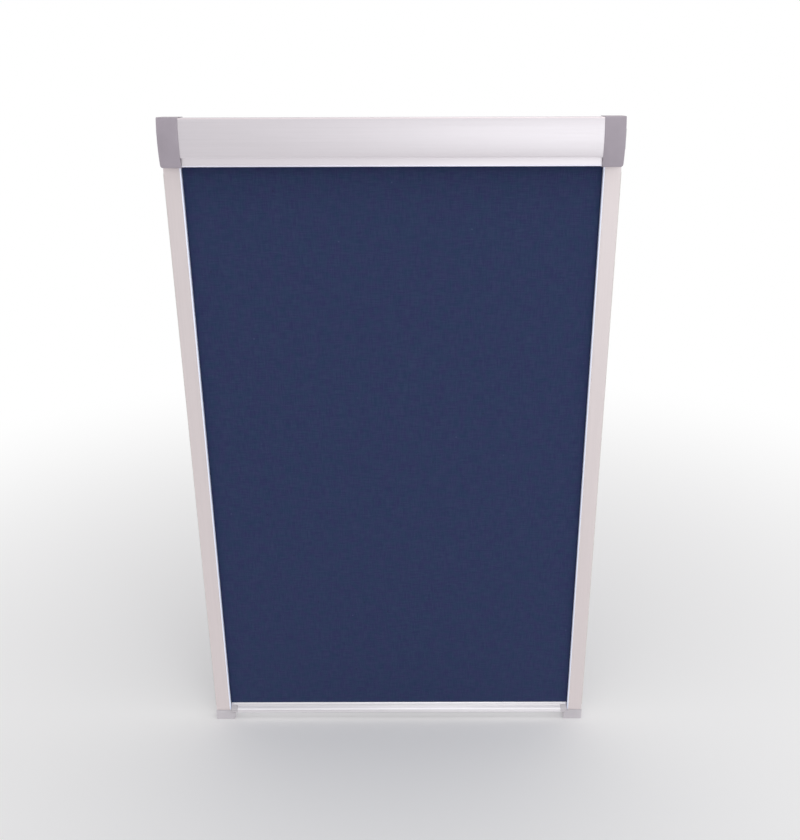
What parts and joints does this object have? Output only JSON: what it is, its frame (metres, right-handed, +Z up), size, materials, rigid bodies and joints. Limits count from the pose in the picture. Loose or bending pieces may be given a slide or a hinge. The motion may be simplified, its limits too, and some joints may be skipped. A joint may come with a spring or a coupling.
{
  "type": "roof window roller blind",
  "caption": "Blackout roller blind for a roof window: silver cassette with grey end caps, side rails, navy fabric and a bottom bar with a finger ledge.",
  "frame": {"origin": "centre of the cassette's back face", "axes": "+Z up along the blind, towards the cassette; +X to the right as seen from the room; +Y towards the window, so the room is at -Y"},
  "size_m": [0.612, 0.0352, 0.9568],
  "materials": {
    "silver_aluminium": "satin anodised",
    "grey_plastic": "moulded, fine grain",
    "navy_fabric": "coated blackout weave",
    "zinc_steel": "zinc plated",
    "spring_steel": "oiled",
    "white_plastic": "moulded",
    "dark_felt": "felt",
    "grey_pile": "brush pile",
    "tape_foam": "foam tape"
  },
  "bodies": {
    "frame": {"cassette_fascia": "silver_aluminium", "cassette_back": "silver_aluminium", "end_cap_right": "grey_plastic", "end_cap_left": "grey_plastic", "end_cap_screw_right_upper": "zinc_steel", "end_cap_screw_left_upper": "zinc_steel", "end_cap_screw_right_lower": "zinc_steel", "end_cap_screw_left_lower": "zinc_steel", "mounting_bracket_right": "zinc_steel", "mounting_bracket_left": "zinc_steel", "spring_arbor": "zinc_steel", "idler_bush": "white_plastic", "side_rail_right": "silver_aluminium", "side_rail_left": "silver_aluminium", "brush_strip_right": "grey_pile", "brush_strip_left": "grey_pile", "mounting_tape_right": "tape_foam", "mounting_tape_left": "tape_foam", "foot_cap_right": "grey_plastic", "foot_cap_left": "grey_plastic", "fabric_sheet": "navy_fabric"},
    "bar": {"bottom_bar": "silver_aluminium", "fabric_spline": "white_plastic", "bar_glide_right": "grey_plastic", "bar_glide_left": "grey_plastic", "brake_spring_right": "spring_steel", "brake_spring_left": "spring_steel", "brake_pad_right": "dark_felt", "brake_pad_left": "dark_felt"},
    "roller": {"roller_tube": "silver_aluminium", "fabric_roll": "navy_fabric", "spring_end_plug": "white_plastic", "spring_drive_plug": "white_plastic", "torsion_spring": "spring_steel", "idler_plug": "white_plastic", "idler_pin_spring": "spring_steel"},
    "pin": {"idler_pin": "zinc_steel"}
  },
  "joints": [
    {"name": "bar_slide", "type": "slide", "parent": "frame", "child": "bar", "axis": [0, 0, 1], "range_m": [0, 0.855], "deforming": ["fabric_sheet"]},
    {"name": "roller_turn", "type": "hinge", "parent": "frame", "child": "roller", "pos_m": [0, -0.018, 0.0052], "axis": [1, 0, 0], "range_deg": [0, 3890]},
    {"name": "pin_slide", "type": "slide", "parent": "roller", "child": "pin", "axis": [-1, 0, 0], "range_m": [0, 0.0045], "stiffness_N_per_m": 400, "springref_m": -0.004, "deforming": ["idler_pin_spring"]}
  ],
  "couplings": [
    {"joint": "roller_turn", "follows": "bar_slide", "rad_per_m": 79.32}
  ]
}
